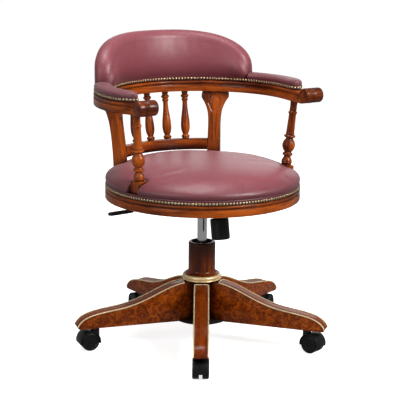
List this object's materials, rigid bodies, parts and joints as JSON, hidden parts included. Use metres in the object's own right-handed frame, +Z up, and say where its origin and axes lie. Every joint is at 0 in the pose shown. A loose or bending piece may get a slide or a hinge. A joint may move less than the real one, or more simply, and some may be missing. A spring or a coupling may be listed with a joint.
{
  "type": "swivel captain's chair",
  "caption": "Swivel desk chair with a round leather seat, horseshoe arm rail on turned posts, padded back, gas lift with lever, tilt with tension knob and a wooden star base on casters.",
  "frame": {"origin": "on the floor under the centre of the column, at the swivel axis", "axes": "+Z up, the sitter faces -Y, +X is to the sitter's left"},
  "size_m": [0.7105, 0.6927, 0.8678],
  "materials": {
    "walnut": "stained brown walnut, satin varnish",
    "dark_walnut": "darker stained turning, satin varnish",
    "ply": "plain board, unfinished",
    "oxblood": "soft dark red leather, slightly glossy",
    "gilt": "gilt, satin",
    "chrome": "polished",
    "steel": "plain",
    "black_metal": "black powder coat",
    "black_plastic": "moulded, satin",
    "caster_plastic": "moulded, slightly glossy",
    "rubber": "matt"
  },
  "bodies": {
    "base": {"base_hub": "dark_walnut", "leg_1": "walnut", "leg_2": "walnut", "leg_3": "walnut", "leg_4": "walnut", "leg_5": "walnut", "base_plate": "black_metal", "base_screws": "steel", "column_ring": "gilt", "column_sleeve": "walnut", "column_tube": "black_metal", "guide_bush": "black_plastic", "caster_sockets": "steel"},
    "piston": {"piston_rod": "steel", "rod_clips": "steel"},
    "lift": {"gas_cylinder": "chrome", "mechanism_housing": "black_metal", "pivot_pins": "steel", "stop_buffers": "rubber", "tension_spring": "steel"},
    "valve": {"valve_button": "steel"},
    "lever": {"lift_lever": "black_metal", "lever_grip": "black_plastic"},
    "seat": {"seat_plate": "black_metal", "plate_screws": "steel", "tension_bolt": "steel", "seat_frame": "walnut", "seat_board": "ply", "seat_cushion": "oxblood", "front_posts": "walnut", "rear_post_left": "walnut", "rear_post_right": "walnut", "lower_rail": "walnut", "spindles": "walnut", "arm_rail": "walnut", "arm_grips": "dark_walnut", "arm_pads": "oxblood", "back_pad": "oxblood"},
    "knob_washer": {"tension_washer": "steel"},
    "knob": {"tension_knob": "black_plastic"},
    "caster_1": {"caster_yoke_1": "caster_plastic", "caster_pins_1": "steel"},
    "caster_1_left_wheel": {"wheel_left_1": "caster_plastic"},
    "caster_1_right_wheel": {"wheel_right_1": "caster_plastic"},
    "caster_2": {"caster_yoke_2": "caster_plastic", "caster_pins_2": "steel"},
    "caster_2_left_wheel": {"wheel_left_2": "caster_plastic"},
    "caster_2_right_wheel": {"wheel_right_2": "caster_plastic"},
    "caster_3": {"caster_yoke_3": "caster_plastic", "caster_pins_3": "steel"},
    "caster_3_left_wheel": {"wheel_left_3": "caster_plastic"},
    "caster_3_right_wheel": {"wheel_right_3": "caster_plastic"},
    "caster_4": {"caster_yoke_4": "caster_plastic", "caster_pins_4": "steel"},
    "caster_4_left_wheel": {"wheel_left_4": "caster_plastic"},
    "caster_4_right_wheel": {"wheel_right_4": "caster_plastic"},
    "caster_5": {"caster_yoke_5": "caster_plastic", "caster_pins_5": "steel"},
    "caster_5_left_wheel": {"wheel_left_5": "caster_plastic"},
    "caster_5_right_wheel": {"wheel_right_5": "caster_plastic"}
  },
  "joints": [
    {"name": "seat_swivel", "type": "hinge", "parent": "base", "child": "piston", "pos_m": [0, 0, 0.064], "axis": [0, 0, 1], "continuous": true},
    {"name": "seat_lift", "type": "slide", "parent": "piston", "child": "lift", "axis": [0, 0, 1], "range_m": [-0.06, 0.04]},
    {"name": "seat_tilt", "type": "hinge", "parent": "lift", "child": "seat", "pos_m": [0, -0.021, 0.412], "axis": [-1, 0, 0], "range_deg": [0, 10], "stiffness_Nm_per_rad": 140, "springref_deg": -9.17, "deforming": ["tension_spring"]},
    {"name": "lever_lift", "type": "hinge", "parent": "lift", "child": "lever", "pos_m": [-0.066, 0.005, 0.407], "axis": [0, 1, 0], "range_deg": [0, 2], "stiffness_Nm_per_rad": 6, "springref_deg": -2.29},
    {"name": "valve_press", "type": "slide", "parent": "lift", "child": "valve", "axis": [0, 0, -1], "range_m": [0, 0.0023]},
    {"name": "tension_travel", "type": "slide", "parent": "seat", "child": "knob_washer", "axis": [0, 0.1736, 0.9848], "range_m": [0, 0.00525], "deforming": ["tension_spring"]},
    {"name": "tension_turn", "type": "hinge", "parent": "knob_washer", "child": "knob", "pos_m": [0, -0.0855, 0.402], "axis": [0, 0.1736, 0.9848], "range_deg": [0, 1080]},
    {"name": "caster_1_swivel", "type": "hinge", "parent": "base", "child": "caster_1", "pos_m": [-0.16453, -0.26744, 0.06], "axis": [0, 0, 1], "continuous": true},
    {"name": "caster_1_left_spin", "type": "hinge", "parent": "caster_1", "child": "caster_1_left_wheel", "pos_m": [-0.17501, -0.28448, 0.026], "axis": [0.8517, -0.524, 0], "continuous": true},
    {"name": "caster_1_right_spin", "type": "hinge", "parent": "caster_1", "child": "caster_1_right_wheel", "pos_m": [-0.17501, -0.28448, 0.026], "axis": [0.8517, -0.524, 0], "continuous": true},
    {"name": "caster_2_swivel", "type": "hinge", "parent": "base", "child": "caster_2", "pos_m": [0.20351, -0.23912, 0.06], "axis": [0, 0, 1], "continuous": true},
    {"name": "caster_2_left_spin", "type": "hinge", "parent": "caster_2", "child": "caster_2_left_wheel", "pos_m": [0.20982, -0.2581, 0.026], "axis": [0.9489, 0.3156, 0], "continuous": true},
    {"name": "caster_2_right_spin", "type": "hinge", "parent": "caster_2", "child": "caster_2_right_wheel", "pos_m": [0.20982, -0.2581, 0.026], "axis": [0.9489, 0.3156, 0], "continuous": true},
    {"name": "caster_3_swivel", "type": "hinge", "parent": "base", "child": "caster_3", "pos_m": [0.29031, 0.11966, 0.06], "axis": [0, 0, 1], "continuous": true},
    {"name": "caster_3_left_spin", "type": "hinge", "parent": "caster_3", "child": "caster_3_left_wheel", "pos_m": [0.30681, 0.13096, 0.026], "axis": [-0.565, 0.8251, 0], "continuous": true},
    {"name": "caster_3_right_spin", "type": "hinge", "parent": "caster_3", "child": "caster_3_right_wheel", "pos_m": [0.30681, 0.13096, 0.026], "axis": [-0.565, 0.8251, 0], "continuous": true},
    {"name": "caster_4_swivel", "type": "hinge", "parent": "base", "child": "caster_4", "pos_m": [-0.02409, 0.31307, 0.06], "axis": [0, 0, 1], "continuous": true},
    {"name": "caster_4_left_spin", "type": "hinge", "parent": "caster_4", "child": "caster_4_left_wheel", "pos_m": [-0.02283, 0.33304, 0.026], "axis": [-0.998, 0.0628, 0], "continuous": true},
    {"name": "caster_4_right_spin", "type": "hinge", "parent": "caster_4", "child": "caster_4_right_wheel", "pos_m": [-0.02283, 0.33304, 0.026], "axis": [-0.998, 0.0628, 0], "continuous": true},
    {"name": "caster_5_swivel", "type": "hinge", "parent": "base", "child": "caster_5", "pos_m": [-0.3052, 0.07383, 0.06], "axis": [0, 0, 1], "continuous": true},
    {"name": "caster_5_left_spin", "type": "hinge", "parent": "caster_5", "child": "caster_5_left_wheel", "pos_m": [-0.32502, 0.07648, 0.026], "axis": [-0.1323, -0.9912, 0], "continuous": true},
    {"name": "caster_5_right_spin", "type": "hinge", "parent": "caster_5", "child": "caster_5_right_wheel", "pos_m": [-0.32502, 0.07648, 0.026], "axis": [-0.1323, -0.9912, 0], "continuous": true}
  ],
  "couplings": [
    {"joint": "lever_lift", "follows": "valve_press", "rad_per_m": 15.152},
    {"joint": "tension_turn", "follows": "tension_travel", "rad_per_m": 3590.4}
  ]
}
